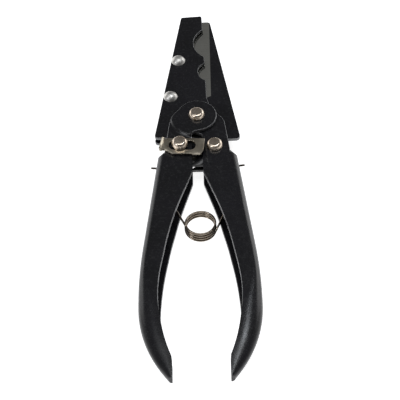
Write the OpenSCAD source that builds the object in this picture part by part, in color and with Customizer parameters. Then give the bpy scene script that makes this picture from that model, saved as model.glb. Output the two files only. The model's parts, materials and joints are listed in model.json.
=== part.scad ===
// Spring-opened hand cutter of stamped sheet steel, drawn closed and lying on its back.
// The jaw tip points to +Y, the handles to -Y, the latched front faces +Z.
// The origin is on the pivot axis, on the rear head of the pivot rivet.

/* [Sheet stack] */
// Thickness of the cutting blade
blade_t = 1.6; // [1.2:0.1:2.4]
// Thickness of each notched jaw plate
jaw_sheet = 1.4; // [1.0:0.1:2.0]
// Gap between the blade and each jaw plate
jaw_play = 0.3; // [0.3:0.05:0.5]
// Thickness of the washers between the jaw plates and the handles
washer_t = 1.0; // [0.8:0.1:1.6]
// Thickness of the handle sheet
handle_sheet = 1.5; // [1.2:0.1:1.8]
// Thickness of the latch
latch_sheet = 1.2; // [0.8:0.1:1.6]
// Gap between plates that slide over each other outside the handles
slide_gap = 0.3; // [0.3:0.05:0.5]

/* [Rivets] */
// Radius of the pivot rivet's shank
pivot_r = 2.6; // [2.2:0.1:3.2]
// Radius of the two lower rivets' shanks
rivet_r = 2.1; // [1.6:0.1:2.3]
// Radius of the two jaw rivets' shanks
jaw_rivet_r = 1.5; // [1.2:0.1:2.0]
// Radial running clearance of every rivet in its holes
run_gap = 0.05; // [0.03:0.01:0.09]
// Radius of the flat rivet heads
head_r = 3.65; // [3.2:0.05:4.0]
// Height of the front rivet heads
head_h = 2.5; // [1.8:0.1:3.0]
// Height of the riveted-over rear heads
rear_head_h = 1.3; // [0.8:0.1:1.8]
// Radius of the domed jaw rivet heads
dome_r = 3.3; // [2.6:0.1:3.5]
// Height of the domed jaw rivet heads
dome_h = 2.1; // [1.4:0.1:2.6]
// Sideways distance of the lower rivets from the pivot axis
rivet_x = 7.7; // [7.2:0.1:8.4]
// Distance of the lower rivets below the pivot axis
rivet_drop = 16.8; // [16.0:0.1:17.6]

/* [Jaws] */
// Distance from the pivot axis to the tip of the notched jaw
jaw_len = 67.8; // [64:0.2:72]
// Distance of the notched jaw's tip corner left of the centre line
tip_left = 6.7; // [5.5:0.1:8.0]
// Distance of the working edge right of the centre line at the tip
edge_tip = 3.1; // [2.6:0.1:3.6]
// Distance of the working edge right of the centre line at its root
edge_root = 4.6; // [4.0:0.1:5.2]
// Height of the working edge's root above the pivot axis
edge_root_y = 14.5; // [13:0.1:16]
// Half width of the head at the jaws' lower corners
jaw_foot = 19.3; // [18:0.1:20.5]
// Distance of the jaws' lower edges below the pivot axis
jaw_drop = 9.2; // [8.6:0.1:9.6]
// Radius of the upper notch
notch_hi_r = 10.9; // [9:0.1:12]
// Height of the upper notch above the pivot axis
notch_hi_y = 49.8; // [48:0.1:51]
// Depth of the upper notch
notch_hi_depth = 4.6; // [3.6:0.1:5.2]
// Radius of the lower notch
notch_lo_r = 6.2; // [5.4:0.1:7]
// Height of the lower notch above the pivot axis
notch_lo_y = 31.2; // [30:0.1:32]
// Depth of the lower notch
notch_lo_depth = 3.3; // [2.6:0.1:3.8]
// Radius of the jaw plates' hub round the pivot
hub_r = 9.0; // [8:0.1:9.6]
// Width of the spacer strip between the jaw plates
spacer_w = 6.0; // [5:0.1:6.4]
// Height of the upper jaw rivet above the pivot axis
dome_hi_y = 38.6; // [36:0.1:40]
// Height of the lower jaw rivet above the pivot axis
dome_lo_y = 15.9; // [14.5:0.1:17]

/* [Blade] */
// Distance of the blade's tip above the pivot axis
blade_len = 65.4; // [62:0.2:67]
// Distance of the grinding line right of the centre line
grind_x = 6.6; // [5.8:0.1:7.4]
// Distance of the cutting edge left of the centre line
cut_x = 3.4; // [2.6:0.1:4.0]
// Thickness left at the cutting edge
cut_t = 0.2; // [0.15:0.05:0.4]
// Height of the lower end of the grinding at its line above the pivot axis
grind_end_y = 17.1; // [15:0.1:19]

/* [Handles] */
// Radius of the handles' eyes round the pivot
eye_r = 8.9; // [8.2:0.1:9.4]
// Radius from the pivot at which the joggle of the upper eyes begins
joggle_r = 10.9; // [10.4:0.1:11.2]
// Half gap between the two handles at the crotch
crotch_x = 2.4; // [1.8:0.1:3.0]
// Distance of the crotch's lower end below the pivot axis
crotch_drop = 31.5; // [30:0.2:34]
// Half width over the handle walls at their upper ends
wall_x = 17.6; // [16.8:0.1:18.4]
// Distance of the walls' upper ends below the pivot axis
wall_drop = 21.4; // [20.6:0.1:22]
// Lean of the straight part of the handle walls, in degrees
wall_lean = 7.2; // [6.5:0.1:8.0]
// Radius of the long bow of the handle walls
bow_r = 240; // [200:5:270]
// Distance of the widest place of the handles below the pivot axis
grip_drop = 100.5; // [98:0.5:103]
// Radius of the handle walls where they turn in to the tips
turn_r = 57; // [53:0.5:62]
// Distance of the handle tips below the pivot axis
tip_drop = 136.0; // [134:0.2:138]
// Lean of the straight part of the flange edges, in degrees
edge_lean = 19.5; // [18:0.1:20.5]
// Radius of the long bow of the flange edges
edge_bow_r = 165; // [150:1:175]
// Radius of the flange edges where they turn in to the tips
edge_turn_r = 72; // [66:1:80]
// How far the rear flange's edge stands in from the common edge line along the grip
rear_wide = 1.4; // [0:0.1:1.6]
// How far the front flange's edge stands out from the common edge line at the grip's widest place
front_short = 0.7; // [0:0.1:1.0]
// Outer radius of the bend between flange and wall
bend_r = 3.0; // [2.2:0.1:3.4]
// Distance below the pivot axis from which the bend grows wider towards the tips
round_drop = 82; // [78:1:88]
// Length over which the bend grows until the flange is round all across
round_len = 28; // [24:1:34]
// Distance below the pivot axis from which the handles grow thinner
thin_drop = 92; // [84:1:100]
// Half height of the handles at their tips
tip_half_h = 2.3; // [2.0:0.1:3.0]

/* [Latch] */
// Length of the slot in the latch
slot_len = 12.0; // [11.6:0.1:12.6]
// Width of the slot in the latch
slot_w = 5.2; // [4.9:0.1:5.6]
// Distance of the slot's left end from the rivet it slides on
slot_left = 4.9; // [4.6:0.1:5.4]
// Lean of the latch and its slot, in degrees
latch_lean = 2.7; // [0:0.1:4]
// Distance of the latch's right end from the rivet it slides on
latch_right = 10.9; // [10.4:0.1:11.0]
// Distance of the latch's left end from the rivet it slides on
latch_left = 9.3; // [8.8:0.1:9.8]
// Height of the thumb ear at the latch's left end
ear_h = 1.6; // [1:0.1:2.2]

/* [Spring] */
// Diameter of the spring wire
wire_d = 0.95; // [0.8:0.05:1.2]
// Outer diameter of the coil
coil_d = 13.8; // [12.6:0.1:15]
// Gap between neighbouring turns of the coil
turn_gap = 0.55; // [0.45:0.01:0.65]
// Full turns of the coil before the last part turn
coil_turns = 3; // [2:1:4]
// Distance of the coil's centre below the pivot axis
coil_drop = 58; // [56:0.5:60]
// Distance of the coil's centre right of the centre line
coil_x = 0.6; // [-1:0.1:1]
// Lean of the legs where they leave the coil, in degrees
leg_lean = 24; // [20:0.5:26]
// Distance of the wire ends' holes below the pivot axis
hole_drop = 25.2; // [24.5:0.1:26.5]
// How far the wire ends stand out of the handle walls
wire_proud = 2.6; // [2:0.1:4]

/* [Hidden] */
$fn = 72;

blade_z = blade_t / 2;
jaw_z = blade_z + jaw_play;
jaw_top = jaw_z + jaw_sheet;
flange_z = jaw_top + washer_t;
flange_top = flange_z + handle_sheet;
eye_z = flange_top + slide_gap;
eye_top = eye_z + handle_sheet;
latch_z = flange_top + slide_gap;
latch_top = latch_z + latch_sheet;
stand = eye_top + run_gap + rear_head_h;

left_rivet_at = [-rivet_x, -rivet_drop];
right_rivet_at = [rivet_x, -rivet_drop];
bush_r = 3.6;
washer_r = 4.4;
pivot_washer_r = 6.2;
relief_r = 9.5;
boss_r = 5.6;
stop_gap = 0.35;
far = 200;

// Jaw rivets sit a fixed way in from the notched jaw's sloping back edge.
rivet_inset = 3.3;
function jaw_back_x(y) = -tip_left - (jaw_foot - tip_left) * (jaw_len - y) / (jaw_len + jaw_drop);
dome_hi_at = [jaw_back_x(dome_hi_y) + rivet_inset, dome_hi_y];
dome_lo_at = [jaw_back_x(dome_lo_y) + rivet_inset, dome_lo_y];
function work_edge_x(y) = edge_tip + (edge_root - edge_tip) * (jaw_len - y) / (jaw_len - edge_root_y);

black = [0.16, 0.16, 0.17];
ground = [0.62, 0.62, 0.60];
nickel = [0.80, 0.76, 0.70];
bright = [0.86, 0.86, 0.87];
bare = [0.50, 0.48, 0.44];
bronze = [0.42, 0.39, 0.35];

// Everything is drawn about the tool's middle plane and lifted onto its rest face.
module on_stand() translate([0, 0, stand]) children();
module rear_side() mirror([0, 0, 1]) children();
module slab(z, t) translate([0, 0, z]) linear_extrude(t) children();
module through(at, r) translate([at[0], at[1], -far / 2]) cylinder(r = r, h = far);

// A polygon whose corners [x, y, radius] are rounded by arcs.
arc_step = 11;
function unit(v) = v / norm(v);
function corner(a, b, c, r) =
    r == 0 ? [b] :
    let (u = unit(a - b), v = unit(c - b), half = acos(u * v) / 2)
    let (centre = b + unit(u + v) * r / sin(half))
    let (from = b + u * r / tan(half) - centre, to = b + v * r / tan(half) - centre)
    let (start = atan2(from[1], from[0]), turn = atan2(from[0] * to[1] - from[1] * to[0], from * to))
    let (steps = max(3, ceil(abs(turn) / arc_step)))
    [for (i = [0 : steps]) centre + r * [cos(start + turn * i / steps), sin(start + turn * i / steps)]];
function flat(p) = [p[0], p[1]];
function rounded(pts) =
    let (n = len(pts))
    [for (i = [0 : n - 1])
        each corner(flat(pts[(i + n - 1) % n]), flat(pts[i]), flat(pts[(i + 1) % n]), pts[i][2])];

// Notched jaw plate: straight back, two notches in the working edge, a tail to the right rivet
// and a toe that reaches under the crotch.
toe_drop = 25.6;
module jaw_outline() {
    difference() {
        polygon(rounded([
            [-tip_left, jaw_len - 0.5, 1.2], [edge_tip, jaw_len, 0.8], [edge_root, edge_root_y, 0],
            [hub_r, 0, 4], [rivet_x + boss_r, -rivet_drop + 3, 4], [rivet_x + boss_r, -toe_drop, boss_r],
            [-3.6, -toe_drop, 0], [-rivet_x - 4.2, -jaw_drop, 0], [-jaw_foot, -jaw_drop, 1.6]
        ]));
        translate(left_rivet_at) circle(r = relief_r);
        notch(notch_hi_y, notch_hi_r, notch_hi_depth);
        notch(notch_lo_y, notch_lo_r, notch_lo_depth);
    }
}
module notch(y, r, depth) translate([work_edge_x(y) - depth + r, y]) circle(r = r);

module jaw_plate() {
    difference() {
        slab(jaw_z, jaw_sheet) jaw_outline();
        through([0, 0], pivot_r + run_gap);
        through(right_rivet_at, rivet_r + run_gap);
        for (at = [dome_hi_at, dome_lo_at]) through(at, jaw_rivet_r + run_gap);
    }
}
module front_jaw_plate() color(black) on_stand() jaw_plate();
module rear_jaw_plate() color(black) on_stand() rear_side() jaw_plate();

// Strip along the jaw's back that holds the two plates a blade's thickness apart.
spacer_over = 6.5;
spacer_set = 0.6;
module jaw_spacer() {
    low = dome_lo_y - spacer_over;
    high = dome_hi_y + spacer_over;
    color(black) on_stand() difference() {
        slab(-jaw_z, 2 * jaw_z) polygon(rounded([
            [jaw_back_x(low) + spacer_set, low, 1], [jaw_back_x(low) + spacer_w, low, 1],
            [jaw_back_x(high) + spacer_w, high, 1], [jaw_back_x(high) + spacer_set, high, 1]
        ]));
        for (at = [dome_hi_at, dome_lo_at]) through(at, jaw_rivet_r + run_gap);
    }
}

// Blade: black body, both faces ground to the cutting edge, a tail to the left rivet.
stop_x = rivet_x - bush_r - stop_gap;
tail_foot = 4.9;
module blade_outline() {
    polygon(rounded([
        [-cut_x, blade_len - 2.5, 0.4], [edge_tip, blade_len, 0.4], [grind_x + 0.3, blade_len - 0.2, 1.6],
        [jaw_foot + 0.1, -jaw_drop - 0.2, 1.8], [rivet_x + 4.4, -jaw_drop - 0.2, 0],
        [rivet_x - 2.4, -rivet_drop + bush_r + 2, 2], [stop_x, -rivet_drop + 2.4, 1],
        [stop_x, -rivet_drop - tail_foot, 1.5], [-rivet_x - boss_r, -rivet_drop - tail_foot, tail_foot],
        [-rivet_x - boss_r, -rivet_drop + 3, 3], [-hub_r, -2, 3], [-hub_r + 2.6, 9, 2], [-cut_x, grind_end_y, 0]
    ]));
}

// Wedge that one grinding pass takes off, ended by a slanting line.
grind_slant = 0.5;
module grinding() {
    rise = (blade_t - cut_t) / 2 / (grind_x + cut_x);
    reach = 10;
    intersection() {
        translate([0, far, 0]) rotate([90, 0, 0]) linear_extrude(far) polygon([
            [grind_x, blade_z], [grind_x + 1, blade_z + 1], [grind_x - 2 * reach, blade_z + 1],
            [grind_x - 2 * reach, blade_z - 2 * reach * rise]
        ]);
        slab(-blade_t, 3 * blade_t) polygon([
            [grind_x + reach, grind_end_y + grind_slant * reach],
            [grind_x - 2 * reach, grind_end_y - 2 * grind_slant * reach],
            [grind_x - 2 * reach, far], [grind_x + reach, far]
        ]);
    }
}
module blade() {
    color(ground) on_stand() difference() {
        slab(-blade_z, blade_t) blade_outline();
        grinding();
        rear_side() grinding();
        through([0, 0], pivot_r + run_gap);
        through(left_rivet_at, rivet_r + run_gap);
    }
}

// Handle channel: the outer wall's line, the flange edge's line and the half height at each y.
wall_y = -wall_drop;
grip_y = -grip_drop;
bow_y = grip_y + bow_r * sin(wall_lean);
grip_x = wall_x + (wall_y - bow_y) * tan(wall_lean) + bow_r * (1 - cos(wall_lean));
shoulder_y = wall_y + 2.2;
shoulder_flare = 0.9;
function outer_x(y) =
    y > wall_y ? wall_x - (y - wall_y) * shoulder_flare :
    y > bow_y ? wall_x + (wall_y - y) * tan(wall_lean) :
    y > grip_y ? grip_x - bow_r + sqrt(bow_r * bow_r - (y - grip_y) * (y - grip_y)) :
    grip_x - turn_r + sqrt(turn_r * turn_r - (y - grip_y) * (y - grip_y));
function outer_slope(y) = (outer_x(y - 0.5) - outer_x(y + 0.5));

crotch_y = -crotch_drop;
edge_y = grip_y;
edge_bow_y = edge_y + edge_bow_r * sin(edge_lean);
edge_max_x = crotch_x + (crotch_y - edge_bow_y) * tan(edge_lean) + edge_bow_r * (1 - cos(edge_lean));
tip_edge_x = 11.7;
tip_flange = 1.4;
function edge_line_x(y) =
    y > crotch_y ? crotch_x :
    y > edge_bow_y ? crotch_x + (crotch_y - y) * tan(edge_lean) :
    y > edge_y ? edge_max_x - edge_bow_r + sqrt(edge_bow_r * edge_bow_r - (y - edge_y) * (y - edge_y)) :
    max(tip_edge_x, edge_max_x - edge_turn_r + sqrt(edge_turn_r * edge_turn_r - (y - edge_y) * (y - edge_y)));
function flange_edge_x(y) = min(edge_line_x(y), outer_x(y) - tip_flange);

tip_y = -tip_drop;
thin_y = -thin_drop;
function half_h(y) =
    y > thin_y ? flange_top :
    flange_top - (flange_top - tip_half_h) * pow((thin_y - y) / (thin_y - tip_y), 2);

// The channel's skin runs a hair inside the head plates that it is one piece with.
weld_sink = 0.03;
function sink(y) = y > crotch_y ? weld_sink : 0;

// Share of the rear flange's extra width: it grows from the crotch and is gone where the grip turns in.
// The front flange falls short only round the grip's widest place.
function grip_share(y) = max(0, min(1, (crotch_y - y) / 28, (y - grip_y + 6) / 32));
function short_share(y) = pow(cos(min(90, abs(y - grip_y - 8) * 4.5)), 2);

// Share by which the bend has grown from its radius to the flange's whole width.
function round_share(y) =
    let (s = max(0, min(1, (-round_drop - y) / round_len)))
    s * s * (3 - 2 * s);

// One section of the channel: outer line and inner line, each from front edge to rear edge.
// The bend is a quarter ellipse. Near the tip the wall grows until it fills the section.
bend_steps = 8;
flat_left = 0.2;
fill_len = 3;
fill_left = 0.3;
function fill(y) = min(1, max(0, (tip_y + fill_len - y) / fill_len));
function section(y) =
    let (xo = outer_x(y), xe = flange_edge_x(y) + sink(y), h = half_h(y) - sink(y))
    let (xi = xe + front_short * short_share(y), xr = xe - rear_wide * grip_share(y))
    let (width = xo - xi, t = handle_sheet - 2 * sink(y), grown = round_share(y))
    let (rx = min(bend_r + grown * (width - bend_r), width - flat_left))
    let (rz = min(bend_r + grown * (h - bend_r), 0.9 * h), cx = xo - rx, cz = h - rz)
    let (sheet_x = t * sqrt(1 + outer_slope(y) * outer_slope(y)))
    let (tx = sheet_x + fill(y) * (width - fill_left - sheet_x))
    [
        concat([[xi, y, h]], bend(cx, y, cz, rx, rz, 90), bend(cx, y, -cz, rx, rz, 0), [[xr, y, -h]]),
        concat([[xi, y, h - t]], bend(cx, y, cz, rx - tx, rz - t, 90), bend(cx, y, -cz, rx - tx, rz - t, 0),
            [[xr, y, t - h]])
    ];
function bend(cx, y, cz, rx, rz, from) =
    [for (i = [0 : bend_steps])
        let (a = from - 90 * i / bend_steps) [cx + rx * cos(a), y, cz + rz * sin(a)]];

channel_steps = 44;
module channel() {
    tail = [for (i = [1 : channel_steps]) crotch_y + (tip_y - crotch_y) * i / channel_steps];
    ys = concat([shoulder_y, wall_y, (wall_y + crotch_y) / 2, crotch_y], tail);
    rings = [for (y = ys) section(y)];
    n = len(rings[0][0]);
    last = len(rings) - 1;
    points = [for (ring = rings) each concat(ring[0], ring[1])];
    function outer(j, i) = j * 2 * n + i;
    function inner(j, i) = j * 2 * n + n + i;
    polyhedron(points, concat(
        [for (j = [0 : last - 1], i = [0 : n - 2])
            each quad(outer(j, i), outer(j, i + 1), outer(j + 1, i + 1), outer(j + 1, i))],
        [for (j = [0 : last - 1], i = [0 : n - 2])
            each quad(inner(j, i), inner(j + 1, i), inner(j + 1, i + 1), inner(j, i + 1))],
        [for (j = [0 : last - 1]) each quad(outer(j, 0), outer(j + 1, 0), inner(j + 1, 0), inner(j, 0))],
        [for (j = [0 : last - 1])
            each quad(inner(j, n - 1), inner(j + 1, n - 1), outer(j + 1, n - 1), outer(j, n - 1))],
        [for (i = [0 : n - 2]) each quad(outer(0, i), inner(0, i), inner(0, i + 1), outer(0, i + 1))],
        [for (i = [0 : n - 2])
            each quad(outer(last, i), outer(last, i + 1), inner(last, i + 1), inner(last, i))]
    ));
}
function quad(a, b, c, d) = [[a, b, c], [a, c, d]];

// Head plate of a handle: eye, arm and the stretch that runs into the channel.
plate_drop = 29;
plate_inset = bend_r + 0.3;
module head_outline() {
    circle(r = eye_r);
    polygon(rounded([
        [crotch_x, -plate_drop, 0], [crotch_x, -eye_r - 0.7, 2.2], [-2.2, -eye_r + 0.3, 0], [0, 0, 0],
        [0.63 * eye_r, 0.775 * eye_r, 0], [eye_r + 3.3, -1.3, 6], [wall_x - 3.2, shoulder_y + 0.6, 1],
        [wall_x - plate_inset, wall_y, 0], [wall_x - plate_inset, -plate_drop, 0]
    ]));
}
module handle_holes(rivet_at) {
    through([0, 0], pivot_r + run_gap);
    through(rivet_at, rivet_r + run_gap);
}

hole_y = -hole_drop;
hole_r = wire_d / 2 + 0.35;
module wire_hole() {
    translate([outer_x(hole_y) - 2 * bend_r, hole_y, 0]) rotate([0, 90, 0]) cylinder(r = hole_r, h = 4 * bend_r);
}

module right_handle() {
    color(black) on_stand() difference() {
        union() {
            channel();
            slab(flange_z, handle_sheet) head_outline();
            rear_side() slab(flange_z, handle_sheet) head_outline();
        }
        handle_holes(right_rivet_at);
        wire_hole();
    }
}

// The left handle's eyes are joggled outwards by one sheet, in a step round the pivot,
// so that they lie over the right handle's eyes.
joggle_w = 1.6;
joggle_shift = 0.4;
module joggled_plate() {
    intersection() {
        rotate_extrude() polygon([
            [0, eye_z], [joggle_r - joggle_shift, eye_z], [joggle_r + joggle_w - joggle_shift, flange_z],
            [far / 2, flange_z], [far / 2, flange_top], [joggle_r + joggle_w, flange_top], [joggle_r, eye_top],
            [0, eye_top]
        ]);
        slab(0, far / 2) mirror([1, 0]) head_outline();
    }
}
module left_handle() {
    color(black) on_stand() difference() {
        union() {
            mirror([1, 0, 0]) channel();
            joggled_plate();
            rear_side() joggled_plate();
        }
        handle_holes(left_rivet_at);
        mirror([1, 0, 0]) wire_hole();
    }
}

// Flat rivet head with tapering sides and a rounded shoulder, standing on z.
module flat_head(z, h) {
    taper = 0.3 * h;
    translate([0, 0, z]) rotate_extrude() polygon(rounded([
        [0, 0, 0], [head_r, 0, 0], [head_r, 0.2 * h, 0.15 * h], [head_r - taper, h, 0.6 * h], [0, h, 0]
    ]));
}
module flat_rivet(at, shank_r, front_z, rear_z) {
    color(nickel) on_stand() translate([at[0], at[1], 0]) {
        flat_head(front_z, head_h);
        rear_side() flat_head(rear_z, rear_head_h);
        translate([0, 0, -rear_z]) cylinder(r = shank_r, h = front_z + rear_z);
    }
}
module pivot_rivet() flat_rivet([0, 0], pivot_r, eye_top + run_gap, eye_top + run_gap);
module left_rivet() flat_rivet(left_rivet_at, rivet_r, latch_top + slide_gap, flange_top);
module right_rivet() flat_rivet(right_rivet_at, rivet_r, flange_top, flange_top);

// Domed rivet through both jaw plates, riveted over flat at the rear.
dome_sphere_r = (dome_r * dome_r + dome_h * dome_h) / (2 * dome_h);
rear_dome_h = 0.9;
module domed_rivet(at) {
    color(bright) on_stand() translate([at[0], at[1], 0]) {
        intersection() {
            translate([0, 0, jaw_top + dome_h - dome_sphere_r]) sphere(r = dome_sphere_r);
            translate([0, 0, jaw_top]) cylinder(r = 2 * dome_r, h = dome_h);
        }
        translate([0, 0, -jaw_top]) cylinder(r = jaw_rivet_r, h = 2 * jaw_top);
        translate([0, 0, -jaw_top - rear_dome_h]) cylinder(r1 = dome_r - 0.9, r2 = dome_r - 0.3, h = rear_dome_h);
    }
}
module upper_jaw_rivet() domed_rivet(dome_hi_at);
module lower_jaw_rivet() domed_rivet(dome_lo_at);

// Plain rings on the rivets' shanks.
module ring(at, z, t, r, hole) {
    color(bare) on_stand() translate([at[0], at[1], z]) difference() {
        cylinder(r = r, h = t);
        translate([0, 0, -t]) cylinder(r = hole + run_gap, h = 3 * t);
    }
}
module front_pivot_washer() ring([0, 0], jaw_top, washer_t, pivot_washer_r, pivot_r);
module rear_pivot_washer() ring([0, 0], -flange_z, washer_t, pivot_washer_r, pivot_r);
module front_right_washer() ring(right_rivet_at, jaw_top, washer_t, washer_r, rivet_r);
module rear_right_washer() ring(right_rivet_at, -flange_z, washer_t, washer_r, rivet_r);
module right_bush() ring(right_rivet_at, -jaw_z, 2 * jaw_z, bush_r, rivet_r);
module front_left_spacer() ring(left_rivet_at, blade_z, flange_z - blade_z, bush_r, rivet_r);
module rear_left_spacer() ring(left_rivet_at, -flange_z, flange_z - blade_z, bush_r, rivet_r);

// Latch: slotted slide under the left rivet's head, with a lip bent down and a thumb ear at its left end.
latch_head = 3.7;
latch_foot = 5.3;
tab_foot = 2.5;
slot_sag = 0.4;
lip_h = 0.8;
end_lean = 1.3;
module latch_outline() {
    difference() {
        polygon(rounded([
            [latch_right, latch_head, 0.4], [latch_right - 0.3, -3.1, 0.4], [latch_right - 1.5, -latch_foot, 0.5],
            [-3.1, -latch_foot, 3], [-6.5, -tab_foot - 0.2, 1.5], [-latch_left, -tab_foot, 0.4],
            [-latch_left + end_lean, latch_head, 0.4]
        ]));
        for (x = [slot_w / 2 - slot_left, slot_len - slot_left - slot_w / 2])
            translate([x, -slot_sag]) circle(r = slot_w / 2);
        translate([slot_w / 2 - slot_left, -slot_sag - slot_w / 2]) square([slot_len - slot_w, slot_w]);
    }
}
module latch_end() {
    length = latch_head + tab_foot - 0.8;
    translate([-latch_left + 0.15, -tab_foot + 0.3, 0]) rotate(-atan(end_lean / (latch_head + tab_foot))) {
        translate([latch_sheet, 0, 0]) rotate([90, 0, -90]) linear_extrude(latch_sheet) polygon([
            [-length, latch_z + latch_sheet / 2], [0, latch_z + latch_sheet / 2], [0, latch_top],
            [-length, latch_top + ear_h]
        ]);
        translate([0, 0, latch_z - lip_h]) cube([latch_sheet, length / 2, lip_h + latch_sheet / 2]);
    }
}
module latch() {
    color(bare) on_stand() translate([left_rivet_at[0], left_rivet_at[1], 0]) rotate(-latch_lean) {
        slab(latch_z, latch_sheet) latch_outline();
        latch_end();
    }
}

// Torsion spring: one wire from the left wall, down its leg, round the coil and up to the right wall.
coil_r = (coil_d - wire_d) / 2;
coil_pitch = wire_d + turn_gap;
coil_start = 180 + leg_lean;
coil_turn = 360 * (coil_turns + 1) - 2 * leg_lean - 180;
coil_half_h = coil_pitch * coil_turn / 360 / 2;
rings_per_turn = 24;
coil_rings = round(rings_per_turn * coil_turn / 360);
coil = [for (i = [0 : coil_rings])
    let (a = coil_start + coil_turn * i / coil_rings)
    [coil_x + coil_r * cos(a), -coil_drop + coil_r * sin(a), coil_half_h * (1 - 2 * i / coil_rings)]];

// Corners of a leg: outer end, turn into the hole, wall, knee, then the coil on the leg's tangent.
hole_x = outer_x(hole_y);
leg_inset = handle_sheet + wire_d + 0.6;
leg_wall_y = hole_y - 7.5;
leg_wall_x = outer_x(leg_wall_y) - leg_inset;
knee_y = hole_y - 16.5;
function leg_corners(side, from) = [
    [side * (hole_x + wire_proud), hole_y + 0.6, 0],
    [side * (hole_x - leg_inset), hole_y, 0],
    [side * leg_wall_x, leg_wall_y, 0.2 * from[2]],
    [from[0] + side * (knee_y - from[1]) * tan(leg_lean), knee_y, 0.45 * from[2]],
    from
];
bend_cut = 2.2;
bend_rings = 4;
function soft_corner(a, b, c) =
    let (p = b + unit(a - b) * bend_cut, q = b + unit(c - b) * bend_cut)
    [for (i = [0 : bend_rings]) let (t = i / bend_rings)
        (1 - t) * (1 - t) * p + 2 * t * (1 - t) * b + t * t * q];
function leg(side, from) =
    let (c = leg_corners(side, from))
    concat([c[0]], [for (i = [1 : 3]) each soft_corner(c[i - 1], c[i], c[i + 1])]);
function reversed(list) = [for (i = [len(list) - 1 : -1 : 0]) list[i]];
wire = concat(leg(-1, coil[0]), coil, reversed(leg(1, coil[coil_rings])));

// Least gap of the wire to itself, measured between points more than half a turn apart.
wire_gap = min([for (i = [0 : len(wire) - 1], j = [i + rings_per_turn / 2 : 1 : len(wire) - 1])
    norm(wire[i] - wire[j]) - wire_d]);
echo(spring_least_gap = wire_gap);

wire_sides = 8;
function wire_frame(i) =
    let (last = len(wire) - 1, ahead = unit(wire[min(i + 1, last)] - wire[max(i - 1, 0)]))
    let (side = unit(cross([0, 0, 1], ahead)))
    [side, cross(ahead, side)];
module spring() {
    n = len(wire);
    points = [for (i = [0 : n - 1])
        let (frame = wire_frame(i))
        for (k = [0 : wire_sides - 1])
            wire[i] + wire_d / 2 * (cos(360 * k / wire_sides) * frame[0] + sin(360 * k / wire_sides) * frame[1])];
    function at(i, k) = i * wire_sides + k % wire_sides;
    color(bronze) on_stand() polyhedron(points, concat(
        [for (i = [0 : n - 2], k = [0 : wire_sides - 1])
            each quad(at(i, k), at(i, k + 1), at(i + 1, k + 1), at(i + 1, k))],
        [for (k = [1 : wire_sides - 2]) [at(0, 0), at(0, k + 1), at(0, k)]],
        [for (k = [1 : wire_sides - 2]) [at(n - 1, 0), at(n - 1, k), at(n - 1, k + 1)]]
    ));
}

left_handle();
right_handle();
front_jaw_plate();
rear_jaw_plate();
jaw_spacer();
blade();
pivot_rivet();
left_rivet();
right_rivet();
upper_jaw_rivet();
lower_jaw_rivet();
front_pivot_washer();
rear_pivot_washer();
front_right_washer();
rear_right_washer();
right_bush();
front_left_spacer();
rear_left_spacer();
latch();
spring();
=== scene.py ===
import json
import math
import bmesh
import bpy
from mathutils import Matrix, Vector
from mathutils.bvhtree import BVHTree
from mathutils.geometry import intersect_point_line

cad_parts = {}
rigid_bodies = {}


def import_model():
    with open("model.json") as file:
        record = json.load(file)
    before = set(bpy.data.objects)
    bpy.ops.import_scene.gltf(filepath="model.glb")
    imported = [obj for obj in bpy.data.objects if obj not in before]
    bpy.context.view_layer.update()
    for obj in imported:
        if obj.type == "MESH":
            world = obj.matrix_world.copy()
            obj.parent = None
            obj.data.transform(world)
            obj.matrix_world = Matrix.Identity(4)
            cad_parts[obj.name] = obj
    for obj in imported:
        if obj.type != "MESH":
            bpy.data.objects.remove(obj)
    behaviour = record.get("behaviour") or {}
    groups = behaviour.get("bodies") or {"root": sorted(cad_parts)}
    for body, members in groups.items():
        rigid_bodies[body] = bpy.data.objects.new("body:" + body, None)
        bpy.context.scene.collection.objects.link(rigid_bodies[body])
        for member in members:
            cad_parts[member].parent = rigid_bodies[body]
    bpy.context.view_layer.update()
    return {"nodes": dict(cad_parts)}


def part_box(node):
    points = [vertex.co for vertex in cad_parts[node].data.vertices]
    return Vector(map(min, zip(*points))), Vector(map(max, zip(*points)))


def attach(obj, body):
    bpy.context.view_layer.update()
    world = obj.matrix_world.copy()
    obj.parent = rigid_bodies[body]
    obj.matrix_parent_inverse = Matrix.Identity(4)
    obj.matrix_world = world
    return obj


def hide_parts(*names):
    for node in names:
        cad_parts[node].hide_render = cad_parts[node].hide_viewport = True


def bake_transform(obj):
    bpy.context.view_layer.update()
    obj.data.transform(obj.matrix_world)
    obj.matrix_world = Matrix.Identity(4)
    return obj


for o in list(bpy.data.objects):
    bpy.data.objects.remove(o)

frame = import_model()
nodes = frame["nodes"]

# Lengths are in metres. MID_Z is the middle of the stack of sheets, which is also the blade's.
MID_Z = (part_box("blade")[0].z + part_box("blade")[1].z) / 2


# Materials

NOISE_ROUGHNESS = 0.55
NOISE_LOW, NOISE_HIGH = 0.3, 0.7  # most of a noise lies between these
COATED_Y, WORN_Y = -0.110, -0.101  # the cut edges lose their coat between these
WALL_OUT, WIRE_OUT = 0.0178, 0.0183  # the spring's ends get dark between these


def ramp(tree, fac, stops):
    """A colour ramp with these stops, each a position and a colour."""
    node = tree.nodes.new("ShaderNodeValToRGB")
    elements = node.color_ramp.elements
    while len(elements) < len(stops):
        elements.new(0.5)
    for element, (at, colour) in zip(elements, stops):
        element.position = at
        element.color = (*colour, 1)
    tree.links.new(fac, node.inputs["Fac"])
    return node.outputs["Color"]


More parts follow.
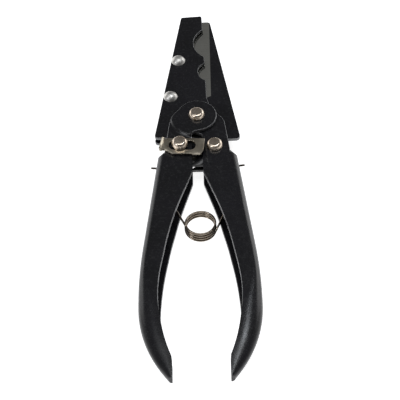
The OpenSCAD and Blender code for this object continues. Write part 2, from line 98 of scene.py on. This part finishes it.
class Nodes:
    """Short calls to build one node material."""

    def __init__(self, name):
        self.mat = bpy.data.materials.new(name)
        self.mat.use_nodes = True
        self.tree = self.mat.node_tree
        self.bsdf = self.tree.nodes["Principled BSDF"]

    def add(self, kind, **values):
        node = self.tree.nodes.new(kind)
        for key, value in values.items():
            setattr(node, key, value)
        return node

    def link(self, a, b):
        self.tree.links.new(a, b)

    def place(self):
        return self.add("ShaderNodeTexCoord").outputs["Object"]

    def noise(self, scale, detail, stretch=(1, 1, 1)):
        mapping = self.add("ShaderNodeMapping")
        mapping.inputs["Scale"].default_value = stretch
        self.link(self.place(), mapping.inputs["Vector"])
        node = self.add("ShaderNodeTexNoise")
        node.inputs["Scale"].default_value = scale
        node.inputs["Detail"].default_value = detail
        node.inputs["Roughness"].default_value = NOISE_ROUGHNESS
        self.link(mapping.outputs["Vector"], node.inputs["Vector"])
        return node.outputs["Fac"]

    def tones(self, fac, dark, light, start=NOISE_LOW, end=NOISE_HIGH):
        return ramp(self.tree, fac, [(start, dark), (end, light)])

    def span(self, fac, low, high):
        node = self.add("ShaderNodeMapRange")
        node.inputs["From Min"].default_value = NOISE_LOW
        node.inputs["From Max"].default_value = NOISE_HIGH
        node.inputs["To Min"].default_value = low
        node.inputs["To Max"].default_value = high
        self.link(fac, node.inputs["Value"])
        return node.outputs["Result"]

    def along(self, axis, start, end, high=1.0):
        split = self.add("ShaderNodeSeparateXYZ")
        self.link(self.place(), split.inputs["Vector"])
        node = self.add("ShaderNodeMapRange")
        node.inputs["From Min"].default_value = start
        node.inputs["From Max"].default_value = end
        node.inputs["To Max"].default_value = high
        self.link(split.outputs[axis], node.inputs["Value"])
        return node.outputs["Result"]

    def mix(self, fac, a, b):
        node = self.add("ShaderNodeMix", data_type="RGBA")
        self.link(fac, node.inputs["Factor"])
        for value, socket in ((a, node.inputs["A"]), (b, node.inputs["B"])):
            if isinstance(value, tuple):
                socket.default_value = (*value, 1)
            else:
                self.link(value, socket)
        return node.outputs["Result"]

    def bump(self, height, strength, distance):
        node = self.add("ShaderNodeBump")
        node.inputs["Strength"].default_value = strength
        node.inputs["Distance"].default_value = distance
        self.link(height, node.inputs["Height"])
        self.link(node.outputs["Normal"], self.bsdf.inputs["Normal"])

    def set(self, **values):
        for key, value in values.items():
            socket = self.bsdf.inputs[key.replace("_", " ")]
            if hasattr(value, "links"):
                self.link(value, socket)
            else:
                socket.default_value = value
        return self.mat


def black_coat():
    n = Nodes("black coat")
    cloud = n.noise(scale=55, detail=4)
    speck = n.noise(scale=950, detail=2)
    base = n.tones(cloud, dark=(0.0066, 0.0067, 0.0075), light=(0.0104, 0.0100, 0.0126))
    dust = n.tones(speck, dark=(0, 0, 0), light=(1, 1, 1), start=0.50, end=0.90)
    colour = n.mix(dust, base, (0.025, 0.025, 0.027))
    n.bump(n.noise(scale=1400, detail=2), strength=0.10, distance=0.00006)
    roughness = n.span(n.noise(scale=160, detail=3), low=0.20, high=0.27)
    return n.set(Base_Color=colour, Roughness=roughness, Specular_IOR_Level=0.40)


def cut_edge():
    n = Nodes("cut edge")
    streak = n.noise(scale=500, detail=3, stretch=(0.4, 0.4, 2.5))
    bare = n.tones(streak, dark=(0.13, 0.13, 0.135), light=(0.22, 0.22, 0.225))
    colour = n.mix(n.along("Y", COATED_Y, WORN_Y), (0.0075, 0.0075, 0.0085), bare)
    n.bump(streak, strength=0.15, distance=0.00006)
    return n.set(Base_Color=colour, Metallic=n.along("Y", COATED_Y, WORN_Y, high=0.75),
                 Roughness=n.span(n.noise(scale=240, detail=2), low=0.36, high=0.48))


def ground_face():
    n = Nodes("ground face")
    lines = n.noise(scale=420, detail=3, stretch=(0.15, 3.0, 1.0))
    cloud = n.noise(scale=70, detail=3)
    base = n.tones(cloud, dark=(0.70, 0.70, 0.65), light=(0.82, 0.82, 0.765))
    colour = n.mix(n.span(lines, low=0.0, high=0.45), base, (0.60, 0.60, 0.555))
    n.bump(lines, strength=0.04, distance=0.00002)
    return n.set(Base_Color=colour, Metallic=1.0, Roughness=n.span(lines, low=0.14, high=0.22))


def nickel():
    n = Nodes("nickel")
    cloud = n.noise(scale=320, detail=3)
    colour = n.tones(cloud, dark=(0.60, 0.505, 0.41), light=(0.71, 0.615, 0.51))
    n.bump(n.noise(scale=900, detail=3), strength=0.06, distance=0.00004)
    return n.set(Base_Color=colour, Metallic=1.0, Roughness=n.span(cloud, low=0.22, high=0.30))


def polished():
    n = Nodes("polished")
    cloud = n.noise(scale=320, detail=3)
    colour = n.tones(cloud, dark=(0.54, 0.53, 0.505), light=(0.65, 0.635, 0.61))
    n.bump(n.noise(scale=1600, detail=2), strength=0.03, distance=0.00003)
    return n.set(Base_Color=colour, Metallic=1.0, Roughness=n.span(cloud, low=0.38, high=0.46))


def bare_steel():
    n = Nodes("bare steel")
    cloud = n.noise(scale=150, detail=4)
    lines = n.noise(scale=500, detail=3, stretch=(2.5, 0.25, 1.0))
    base = n.tones(cloud, dark=(0.39, 0.345, 0.275), light=(0.64, 0.58, 0.475),
                   start=0.35, end=0.65)
    colour = n.mix(n.span(lines, low=0.0, high=0.4), base, (0.37, 0.33, 0.265))
    n.bump(lines, strength=0.06, distance=0.00004)
    return n.set(Base_Color=colour, Metallic=1.0, Roughness=n.span(cloud, low=0.26, high=0.36))


def spring_wire():
    n = Nodes("spring wire")
    cloud = n.noise(scale=260, detail=3)
    colour = n.tones(cloud, dark=(0.21, 0.17, 0.13), light=(0.33, 0.28, 0.225))
    for side in (-1, 1):
        end = n.along("X", side * WALL_OUT, side * WIRE_OUT)
        colour = n.mix(end, colour, (0.055, 0.046, 0.038))
    n.bump(n.noise(scale=1200, detail=2), strength=0.03, distance=0.00002)
    return n.set(Base_Color=colour, Metallic=1.0, Roughness=n.span(cloud, low=0.07, high=0.13))


BLACK, EDGE, GROUND, NICKEL, POLISHED, BARE, WIRE = (
    black_coat(), cut_edge(), ground_face(), nickel(), polished(), bare_steel(), spring_wire())


# Pieces: each CAD node is shown by a copy with joined faces, broken edges and smooth shading.

SHEET_EDGE = 60  # an edge that turns by more degrees than this is broken
FOLD_Y = -0.02  # above this, the left handle's gentler edges are folds and stay smooth
ROOM = 2.3  # widths that an edge needs free beside it to be broken
ACROSS = 0.8  # cosine up to which a neighbour counts as lying beside an edge
RELAX_ROUNDS = 8
RELAX_REACH = 2  # widths round a crossing in which edges are left whole
# Half heights and widths of the handles' channels, and the gap between them below the heads
FLANGE = (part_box("right_handle")[1].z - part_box("right_handle")[0].z) / 2
SHEET = 0.0015
CROTCH = 0.0024
CROTCH_Y = -0.0315
CROTCH_TOP_Y = -0.012
CROTCH_REACH = 0.005
HAIR = 0.00005  # a corner this near to a level is put on it
WELD, LEVEL_WELD = 0.000002, 0.00004  # corners nearer than this are joined
SLIVER = 2e-6  # edges shorter than this are taken out
FLAT = math.radians(0.4)  # faces that turn by less than this are joined
BEVEL_SEGMENTS = 2


def nearest(point, a, b):
    """The spot on the line from a to b that is nearest to a point."""
    share = intersect_point_line(point, a, b)[1]
    return a.lerp(b, min(max(share, 0), 1))


def roomy(e, width):
    """Whether an edge's neighbours leave the room to break it by this width."""
    reach = ROOM * width
    start, end = (v.co for v in e.verts)
    along, middle = (end - start).normalized(), (start + end) / 2
    for v in e.verts:
        for o in v.link_edges:
            side = o.other_vert(v).co - v.co
            if abs(side.dot(along)) < ACROSS * side.length < ACROSS * reach:
                return False
    for face in e.link_faces:
        for o in face.edges:
            if not set(o.verts) & set(e.verts):
                gap = nearest(middle, *(v.co for v in o.verts)) - middle
                if abs(gap.dot(along)) < ACROSS * gap.length < ACROSS * reach:
                    return False
    return True


def crossings(obj):
    """Where the faces of a piece, as it is shown, run through each other."""
    bm = bmesh.new()
    bm.from_mesh(obj.evaluated_get(bpy.context.evaluated_depsgraph_get()).data)
    bmesh.ops.triangulate(bm, faces=bm.faces)
    bm.faces.ensure_lookup_table()
    tree = BVHTree.FromBMesh(bm)
    spots = []
    for i, j in tree.overlap(tree):
        if i < j and not set(bm.faces[i].verts) & set(bm.faces[j].verts):
            spots += [bm.faces[i].calc_center_median(), bm.faces[j].calc_center_median()]
    bm.free()
    return spots


def relax(obj, width):
    """Leaves an edge whole where breaking it would run it into another."""
    weight = obj.data.attributes["bevel_weight_edge"].data
    for _ in range(RELAX_ROUNDS):
        spots = crossings(obj)
        if not spots:
            return
        for e in obj.data.edges:
            if weight[e.index].value:
                a, b = (obj.data.vertices[v].co for v in e.vertices)
                if any((nearest(s, a, b) - s).length < RELAX_REACH * width for s in spots):
                    weight[e.index].value = 0
        obj.data.update()


def flush(bm):
    """Levels the hair's breadth by which a handle's channel lies inside its head plates."""
    levels = ((2, MID_Z, FLANGE), (2, MID_Z, FLANGE - SHEET), (0, 0, CROTCH))
    for v in bm.verts:
        for axis, middle, level in levels:
            off = v.co[axis] - middle
            if v.co.y > CROTCH_Y and abs(abs(off) - level) < HAIR:
                v.co[axis] = middle + math.copysign(level, off)


def in_crotch(point):
    """The deep gap between the handles, where faces and cut edges keep the dark coat instead of
    bare metal: painted shade between the parts.
    """
    return abs(point.x) < CROTCH_REACH and CROTCH_Y < point.y < CROTCH_TOP_Y


def piece(name, body, edge, angle, materials, pick=None, worn=-1,
          cut=None, fold=False, level=False):
    """Shows a node by its skin.

    Edges are broken by the width edge and shaded sharp above angle degrees. pick chooses a face's
    material and worn is the material of broken edges. cut is a plane whose line stays in the mesh,
    fold keeps folded edges smooth, and level evens out the channel's small steps.
    """
    bm = bmesh.new()
    bm.from_mesh(nodes[name].data)
    if level:
        flush(bm)
    bmesh.ops.remove_doubles(bm, verts=bm.verts, dist=LEVEL_WELD if level else WELD)
    bmesh.ops.dissolve_degenerate(bm, dist=SLIVER, edges=bm.edges)
    if cut:
        everything = bm.verts[:] + bm.edges[:] + bm.faces[:]
        made = bmesh.ops.bisect_plane(bm, geom=everything, plane_co=cut[0], plane_no=cut[1])
        for item in made["geom_cut"]:
            if isinstance(item, bmesh.types.BMEdge):
                item.seam = True
    bmesh.ops.dissolve_limit(
        bm, angle_limit=FLAT, verts=bm.verts, edges=bm.edges, delimit={"SEAM"})
    for face in bm.faces:
        face.smooth = True
        # faces in the crotch keep the dark coat: painted shade in the gap between the handles
        picked = pick and not in_crotch(face.calc_center_median())
        face.material_index = pick(face) if picked else 0
    weight = bm.edges.layers.float.new("bevel_weight_edge")
    for e in bm.edges:
        turn = math.degrees(e.calc_face_angle(0))
        folded = fold and turn < SHEET_EDGE and e.verts[0].co.y > FOLD_Y
        e.smooth = turn <= angle or folded
        # edges in the crotch stay unbroken, so no bare-metal bevel shows there: painted shade
        in_painted_shade = worn > 0 and in_crotch((e.verts[0].co + e.verts[1].co) / 2)
        e[weight] = edge and turn > SHEET_EDGE and not in_painted_shade and roomy(e, edge)
    mesh = bpy.data.meshes.new(name + "_skin")
    bm.to_mesh(mesh)
    bm.free()
    for material in materials:
        mesh.materials.append(material)
    obj = bpy.data.objects.new(name + "_skin", mesh)
    bpy.context.scene.collection.objects.link(obj)
    if edge:
        bevel = obj.modifiers.new("edge", "BEVEL")
        bevel.width = edge
        bevel.segments = BEVEL_SEGMENTS
        bevel.limit_method = "WEIGHT"
        bevel.use_clamp_overlap = False
        bevel.material = worn
        bevel.harden_normals = not fold
        relax(obj, edge)
    if fold:
        even = obj.modifiers.new("even", "WEIGHTED_NORMAL")
        even.keep_sharp = True
    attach(obj, body)
    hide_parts(name)


# Which material a face gets: 0 is the coat, 1 a cut edge and 2 the blade's ground face.

UPRIGHT = 0.5  # a face whose normal rises less than this stands upright
CUTTING_X, CUTTING_Y = -0.006, 0.02  # beyond these, the jaw plates' edges are coated
GROUND_TILT = -0.02
FLANGE_RISE = 0.0024  # from the blade's face to the part of the flanges that is worn
INWARD = -0.2
HEAD_Y = -0.018  # above this, the handles' edges are worn all round


def upright(face):
    return abs(face.normal.z) < UPRIGHT


def plate_face(face):
    centre = face.calc_center_median()
    cutting = centre.x > CUTTING_X and centre.y > CUTTING_Y
    return 1 if upright(face) and not cutting else 0


def blade_face(face):
    if upright(face):
        return 1
    return 2 if face.normal.x < GROUND_TILT else 0


def handle_face(side):
    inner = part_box("blade")[1].z - MID_Z

    def pick(face):
        centre = face.calc_center_median()
        high = abs(centre.z - MID_Z) > inner + FLANGE_RISE
        inward = face.normal.x * side < INWARD or (centre.y > HEAD_Y and upright(face))
        return 1 if upright(face) and high and inward else 0
    return pick


WORN_EDGE, PLATE_EDGE, LATCH_EDGE, ROUND_EDGE = 0.00022, 0.00015, 0.0002, 0.0001
HANDLE_SHARP, PLATE_SHARP, BLADE_SHARP, RIVET_SHARP, RING_SHARP = 24, 25, 2, 32, 30
LATCH_LEAN = math.radians(2.7)
SLOT_LINE = (Vector((-0.0077, -0.0172, 0)),
             Vector((math.sin(LATCH_LEAN), math.cos(LATCH_LEAN), 0)))

piece("left_handle", "left_lever", WORN_EDGE, HANDLE_SHARP,
      [BLACK, EDGE], handle_face(-1), worn=1, fold=True, level=True)
piece("right_handle", "right_lever", WORN_EDGE, HANDLE_SHARP,
      [BLACK, EDGE], handle_face(1), worn=1, level=True)
piece("front_jaw_plate", "right_lever", WORN_EDGE, PLATE_SHARP,
      [BLACK, EDGE], plate_face, worn=1)
piece("rear_jaw_plate", "right_lever", PLATE_EDGE, PLATE_SHARP,
      [BLACK, EDGE], plate_face, worn=1)
piece("jaw_spacer", "right_lever", PLATE_EDGE, PLATE_SHARP, [BLACK])
piece("blade", "left_lever", 0.0, BLADE_SHARP, [BLACK, EDGE, GROUND], blade_face)
for rivet, body in (("pivot_rivet", "left_lever"), ("left_rivet", "left_lever"),
                    ("right_rivet", "right_lever")):
    piece(rivet, body, ROUND_EDGE, RIVET_SHARP, [NICKEL])
for rivet in ("upper_jaw_rivet", "lower_jaw_rivet"):
    piece(rivet, "right_lever", ROUND_EDGE, RIVET_SHARP, [POLISHED])
piece("latch", "latch", LATCH_EDGE, PLATE_SHARP, [BARE], cut=SLOT_LINE)
for ring in ("front_pivot_washer", "rear_pivot_washer", "front_right_washer",
             "rear_right_washer", "right_bush"):
    piece(ring, "right_lever", ROUND_EDGE, RING_SHARP, [BARE])
for ring in ("front_left_spacer", "rear_left_spacer"):
    piece(ring, "left_lever", ROUND_EDGE, RING_SHARP, [BARE])


# Spring: a round wire along the same path, in three pieces: the coil and the two legs.

WIRE_R = 0.000475
WIRE_SIDES = 16
COIL_OUTER_R = 0.0069
COIL_R = COIL_OUTER_R - WIRE_R
COIL = Vector((0.0006, -0.058, MID_Z))
COIL_STEPS = 260
LEAN_DEG = 24  # of each leg, where it leaves the coil
LEAN = math.radians(LEAN_DEG)
WOUND_TURNS = 4
TURNS = (360 * WOUND_TURNS - 2 * LEAN_DEG - 180) / 360
COIL_GAP = 0.00055
PITCH = 2 * WIRE_R + COIL_GAP
HALF = PITCH * TURNS / 2
WALL_X, WALL_Y = 0.0176, -0.0214  # a spot on the outside of the right handle's wall
WALL_LEAN = math.tan(math.radians(7.2))
WIRE_PLAY = 0.0006
HOLE_Y, LEG_Y, KNEE_Y = -0.0252, -0.0327, -0.0417  # the leg's three bends
LEG_SHARE, KNEE_SHARE = 0.2, 0.45  # how much of the coil end's height the leg has there
END_OUT, END_RISE = 0.0026, 0.0006  # of the wire's end beyond the wall
CORNER_CUT, CORNER_STEPS = 0.0022, 8  # a bend starts this far before its corner
TAIL_STEPS = 12


def tube(name, path):
    mesh = bpy.data.meshes.new(name)
    points, faces = [], []
    for i, p in enumerate(path):
        ahead = (path[min(i + 1, len(path) - 1)] - path[max(i - 1, 0)]).normalized()
        side = Vector((0, 0, 1)).cross(ahead).normalized()
        up = ahead.cross(side)
        for k in range(WIRE_SIDES):
            a = 2 * math.pi * k / WIRE_SIDES
            points.append(p + WIRE_R * (math.cos(a) * side + math.sin(a) * up))
    for i in range(len(path) - 1):
        here, there = i * WIRE_SIDES, (i + 1) * WIRE_SIDES
        for k in range(WIRE_SIDES):
            n = (k + 1) % WIRE_SIDES
            faces.append((here + k, here + n, there + n, there + k))
    faces.append(tuple(reversed(range(WIRE_SIDES))))
    faces.append(tuple((len(path) - 1) * WIRE_SIDES + k for k in range(WIRE_SIDES)))
    mesh.from_pydata(points, [], faces)
    mesh.polygons.foreach_set("use_smooth", [len(f) == 4 for f in faces])
    mesh.materials.append(WIRE)
    obj = bpy.data.objects.new(name, mesh)
    bpy.context.scene.collection.objects.link(obj)
    return obj


def coil_point(t):
    a = math.pi + LEAN + 2 * math.pi * TURNS * t
    return COIL + Vector((COIL_R * math.cos(a), COIL_R * math.sin(a), HALF * (1 - 2 * t)))


def soft_corner(a, b, c):
    """The bend at b of a wire that comes from a and goes to c."""
    p, q = b + (a - b).normalized() * CORNER_CUT, b + (c - b).normalized() * CORNER_CUT
    shares = [i / CORNER_STEPS for i in range(CORNER_STEPS + 1)]
    return [(1 - t) ** 2 * p + 2 * t * (1 - t) * b + t * t * q for t in shares]


def wall_at(y):
    return WALL_X + (WALL_Y - y) * WALL_LEAN


def leg(side, root):
    """From the end outside a handle's wall, along its inside and over to the coil."""
    z = root.z - MID_Z
    inset = SHEET + 2 * WIRE_R + WIRE_PLAY
    knee_x = root.x + side * (KNEE_Y - root.y) * math.tan(LEAN)
    c = [
        Vector((side * (wall_at(HOLE_Y) + END_OUT), HOLE_Y + END_RISE, MID_Z)),
        Vector((side * (wall_at(HOLE_Y) - inset), HOLE_Y, MID_Z)),
        Vector((side * (wall_at(LEG_Y) - inset), LEG_Y, MID_Z + LEG_SHARE * z)),
        Vector((knee_x, KNEE_Y, MID_Z + KNEE_SHARE * z)),
        root,
    ]
    path = [c[0]]
    for i in (1, 2, 3):
        path += soft_corner(c[i - 1], c[i], c[i + 1])
    tail = path[-1]
    return path + [tail.lerp(root, i / TAIL_STEPS) for i in range(1, TAIL_STEPS)] + [root]


root_l, root_r = coil_point(0), coil_point(1)
coil = tube("spring_coil", [coil_point(i / COIL_STEPS) for i in range(COIL_STEPS + 1)])
left_leg = tube("spring_left_leg", leg(-1, root_l))
right_leg = tube("spring_right_leg", leg(1, root_r))
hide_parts("spring")
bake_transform(coil)
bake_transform(left_leg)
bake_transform(right_leg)


# Floor, light and camera

FLOOR = 4
FLOOR_DROP = -0.00002  # just below the heads that the tool lies on
FLOOR_GLOW = 0.84  # as seen directly or in the metal, so that the ground is white


def floor_material():
    n = Nodes("floor")
    tone = n.tones(n.noise(scale=3, detail=2), dark=(0.86, 0.86, 0.86), light=(0.88, 0.88, 0.88))
    path = n.add("ShaderNodeLightPath")
    seen = path.outputs["Is Camera Ray"]
    for ray in ("Is Glossy Ray", "Is Transmission Ray"):
        either = n.add("ShaderNodeMath", operation="MAXIMUM")
        n.link(seen, either.inputs[0])
        n.link(path.outputs[ray], either.inputs[1])
        seen = either.outputs[0]
    glow = n.add("ShaderNodeMath", operation="MULTIPLY")
    n.link(seen, glow.inputs[0])
    glow.inputs[1].default_value = FLOOR_GLOW
    return n.set(Base_Color=tone, Roughness=0.9, Specular_IOR_Level=0.0,
                 Emission_Color=(1, 1, 1, 1), Emission_Strength=glow.outputs[0])


floor_mesh = bpy.data.meshes.new("floor")
floor_mesh.from_pydata(
    [(-FLOOR, -FLOOR, 0), (FLOOR, -FLOOR, 0), (FLOOR, FLOOR, 0), (-FLOOR, FLOOR, 0)],
    [], [(0, 1, 2, 3)])
floor_mesh.materials.append(floor_material())
floor = bpy.data.objects.new("floor", floor_mesh)
floor.location.z = FLOOR_DROP
bpy.context.scene.collection.objects.link(floor)


def softbox(name, at, look, size, energy, colour):
    data = bpy.data.lights.new(name, "AREA")
    data.shape = "RECTANGLE"
    data.size, data.size_y = size
    data.energy = energy
    data.color = colour
    obj = bpy.data.objects.new(name, data)
    obj.location = at
    obj.rotation_euler = (Vector(look) - Vector(at)).to_track_quat("-Z", "Y").to_euler()
    obj.visible_camera = False
    bpy.context.scene.collection.objects.link(obj)


# Name, place, the spot it points to, size, watts and colour
LIGHTS = (
    ("overhead", (0.10, -0.03, 0.90), (0.10, -0.031, 0), (0.70, 0.36), 2.75, (0.97, 0.985, 1.0)),
    ("right", (0.33, 0.27, 0.91), (0, -0.08, 0), (0.14, 0.14), 0.95, (0.90, 0.95, 1.0)),
    ("left", (-0.36, 0.14, 0.95), (0, -0.08, 0), (0.34, 0.28), 0.30, (0.94, 0.97, 1.0)),
    ("right rim", (0.80, 0.66, 0.32), (0, -0.05, 0), (0.60, 0.52), 1.9, (1, 1, 1)),
    ("left rim", (-0.80, 0.66, 0.30), (0, -0.05, 0), (0.60, 0.48), 1.25, (1, 1, 1)),
    ("front", (-0.62, -0.40, 0.70), (0, 0, 0), (0.35, 0.30), 2.0, (0.94, 0.96, 1.0)),
)
for light in LIGHTS:
    softbox(*light)

# The sky's grey by height, and its strength by depth from -Y to +Y
SKY_GREYS = ((0.0, 1.0), (0.30, 0.5), (0.55, 0.13))
SKY_STRENGTHS = ((0.20, 0.3), (0.55, 1.0), (0.85, 1.0), (0.975, 0.4))


def grey_stops(stops):
    return [(at, (tone, tone, tone)) for at, tone in stops]


world = bpy.data.worlds.new("studio")
bpy.context.scene.world = world
world.use_nodes = True
sky = world.node_tree
background = sky.nodes["Background"]
split = sky.nodes.new("ShaderNodeSeparateXYZ")
sky.links.new(sky.nodes.new("ShaderNodeTexCoord").outputs["Generated"], split.inputs["Vector"])
depth = sky.nodes.new("ShaderNodeMapRange")
depth.inputs["From Min"].default_value = -1.0
sky.links.new(split.outputs["Y"], depth.inputs["Value"])
fade = ramp(sky, split.outputs["Z"], grey_stops(SKY_GREYS))
strength = ramp(sky, depth.outputs["Result"], grey_stops(SKY_STRENGTHS))
sky.links.new(fade, background.inputs["Color"])
sky.links.new(strength, background.inputs["Strength"])

# The camera that was fitted to the photo. It looks at AIM, and its middle is SHIFT pixels off.
PIXELS, FOCAL_PIXELS = 400, 1596
SHIFT_X, SHIFT_Y = 1.7, 15.6
AZ, EL, ROLL, DIST = math.radians(-1.6), math.radians(50), math.radians(-3.16), 0.7
AIM = Vector((0, -0.034, MID_Z - 0.001))
SENSOR_MM = 36
CLIP_NEAR, CLIP_FAR = 0.01, 20

ahead = Vector((math.sin(AZ) * math.cos(EL), math.cos(AZ) * math.cos(EL), -math.sin(EL)))
across = Vector((math.cos(AZ), -math.sin(AZ), 0))
rise = across.cross(ahead)
right = math.cos(ROLL) * across + math.sin(ROLL) * rise
top = math.cos(ROLL) * rise - math.sin(ROLL) * across
place = AIM - DIST * ahead
look = ahead + right * (SHIFT_X / FOCAL_PIXELS) - top * (SHIFT_Y / FOCAL_PIXELS)
look.normalize()
right = (right - look * right.dot(look)).normalized()
top = right.cross(look)
data = bpy.data.cameras.new("camera")
data.sensor_width = SENSOR_MM
data.lens = FOCAL_PIXELS / PIXELS * SENSOR_MM
data.clip_start, data.clip_end = CLIP_NEAR, CLIP_FAR
camera = bpy.data.objects.new("camera", data)
rotation = Matrix((right, top, -look)).transposed()
camera.matrix_world = Matrix.Translation(place) @ rotation.to_4x4()
bpy.context.scene.collection.objects.link(camera)
bpy.context.scene.camera = camera
bpy.context.scene.view_settings.view_transform = "Standard"
bpy.context.scene.view_settings.look = "None"
